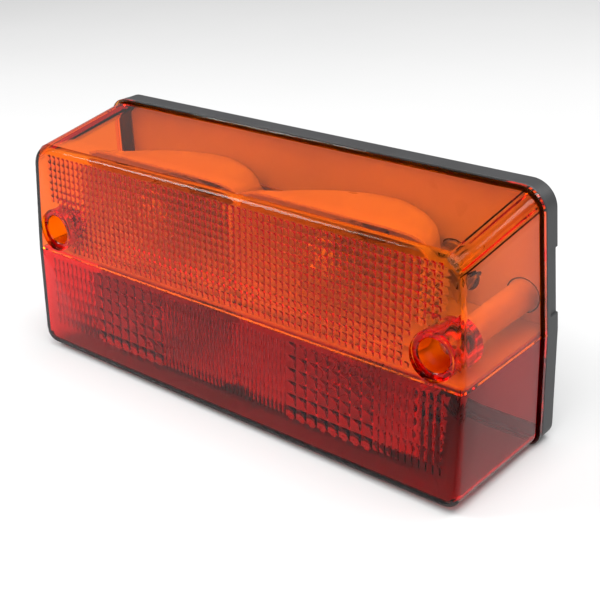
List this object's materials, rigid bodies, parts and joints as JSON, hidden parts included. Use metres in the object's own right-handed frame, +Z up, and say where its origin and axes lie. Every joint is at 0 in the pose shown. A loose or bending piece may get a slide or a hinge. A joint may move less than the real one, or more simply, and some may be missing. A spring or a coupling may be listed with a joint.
{
  "type": "trailer tail light",
  "caption": "Rectangular two-chamber rear lamp: amber indicator lens over a red stop and tail lens, on a black moulded base with bayonet bulbs.",
  "frame": {"origin": "middle of the flat rear mounting face of the base", "axes": "+X along the lamp's width, +Y out of the rear face into the vehicle (the lens faces -Y), +Z up with the amber chamber on top"},
  "size_m": [0.237, 0.0872, 0.108],
  "materials": {
    "black_plastic": "fine moulded grain",
    "rubber": "dull",
    "amber_lens": "clear-tinted, polished",
    "red_lens": "clear-tinted, polished",
    "white_plastic": "satin, reflective",
    "zinc_steel": "zinc plated",
    "brass": "satin",
    "bulb_glass": "clear",
    "tungsten": "drawn wire"
  },
  "bodies": {
    "root": {"housing_base": "black_plastic", "lens_gasket": "rubber", "chamber_divider": "white_plastic", "indicator_left_reflector": "white_plastic", "indicator_left_socket": "zinc_steel", "indicator_left_contact": "brass", "indicator_right_reflector": "white_plastic", "indicator_right_socket": "zinc_steel", "indicator_right_contact": "brass", "stop_reflector": "white_plastic", "stop_socket": "zinc_steel", "stop_contact": "brass", "tail_reflector": "white_plastic", "tail_socket": "zinc_steel", "tail_contact": "brass", "mounting_bolt_left": "zinc_steel", "mounting_washer_left": "zinc_steel", "mounting_nut_left": "zinc_steel", "mounting_bolt_right": "zinc_steel", "mounting_washer_right": "zinc_steel", "mounting_nut_right": "zinc_steel", "cable_grommet": "rubber"},
    "lens": {"lens_amber": "amber_lens", "lens_red": "red_lens"},
    "seal_left": {"screw_seal_left": "rubber"},
    "screw_left": {"lens_screw_left": "zinc_steel"},
    "seal_right": {"screw_seal_right": "rubber"},
    "screw_right": {"lens_screw_right": "zinc_steel"},
    "indicator_left_bulb": {"indicator_left_bulb_cap": "brass", "indicator_left_bulb_glass": "bulb_glass", "indicator_left_filament": "tungsten"},
    "indicator_right_bulb": {"indicator_right_bulb_cap": "brass", "indicator_right_bulb_glass": "bulb_glass", "indicator_right_filament": "tungsten"},
    "stop_bulb": {"stop_bulb_cap": "brass", "stop_bulb_glass": "bulb_glass", "stop_filament": "tungsten"},
    "tail_bulb": {"tail_bulb_cap": "brass", "tail_bulb_glass": "bulb_glass", "tail_filament": "tungsten"}
  },
  "joints": [
    {"name": "lens_lift", "type": "slide", "parent": "root", "child": "lens", "axis": [0, -1, 0], "range_m": [0, 0.09]},
    {"name": "screw_left_travel", "type": "slide", "parent": "lens", "child": "seal_left", "axis": [0, -1, 0], "range_m": [0, 0.0144]},
    {"name": "screw_left_turn", "type": "hinge", "parent": "seal_left", "child": "screw_left", "pos_m": [-0.1028, -0.049, 0.0064], "axis": [0, -1, 0], "range_deg": [0, 2880]},
    {"name": "screw_right_travel", "type": "slide", "parent": "lens", "child": "seal_right", "axis": [0, -1, 0], "range_m": [0, 0.0144]},
    {"name": "screw_right_turn", "type": "hinge", "parent": "seal_right", "child": "screw_right", "pos_m": [0.1028, -0.049, 0.0064], "axis": [0, -1, 0], "range_deg": [0, 2880]},
    {"name": "indicator_left_bulb_twist", "type": "hinge", "parent": "root", "child": "indicator_left_bulb", "pos_m": [-0.046, -0.013, 0.02], "axis": [0, -1, 0], "range_deg": [0, 22]},
    {"name": "indicator_right_bulb_twist", "type": "hinge", "parent": "root", "child": "indicator_right_bulb", "pos_m": [0.046, -0.013, 0.02], "axis": [0, -1, 0], "range_deg": [0, 22]},
    {"name": "stop_bulb_twist", "type": "hinge", "parent": "root", "child": "stop_bulb", "pos_m": [-0.046, -0.013, -0.0296], "axis": [0, -1, 0], "range_deg": [0, 22]},
    {"name": "tail_bulb_twist", "type": "hinge", "parent": "root", "child": "tail_bulb", "pos_m": [0.046, -0.013, -0.0296], "axis": [0, -1, 0], "range_deg": [0, 22]}
  ],
  "couplings": [
    {"joint": "screw_left_turn", "follows": "screw_left_travel", "rad_per_m": 3490.7},
    {"joint": "screw_right_turn", "follows": "screw_right_travel", "rad_per_m": 3490.7}
  ]
}
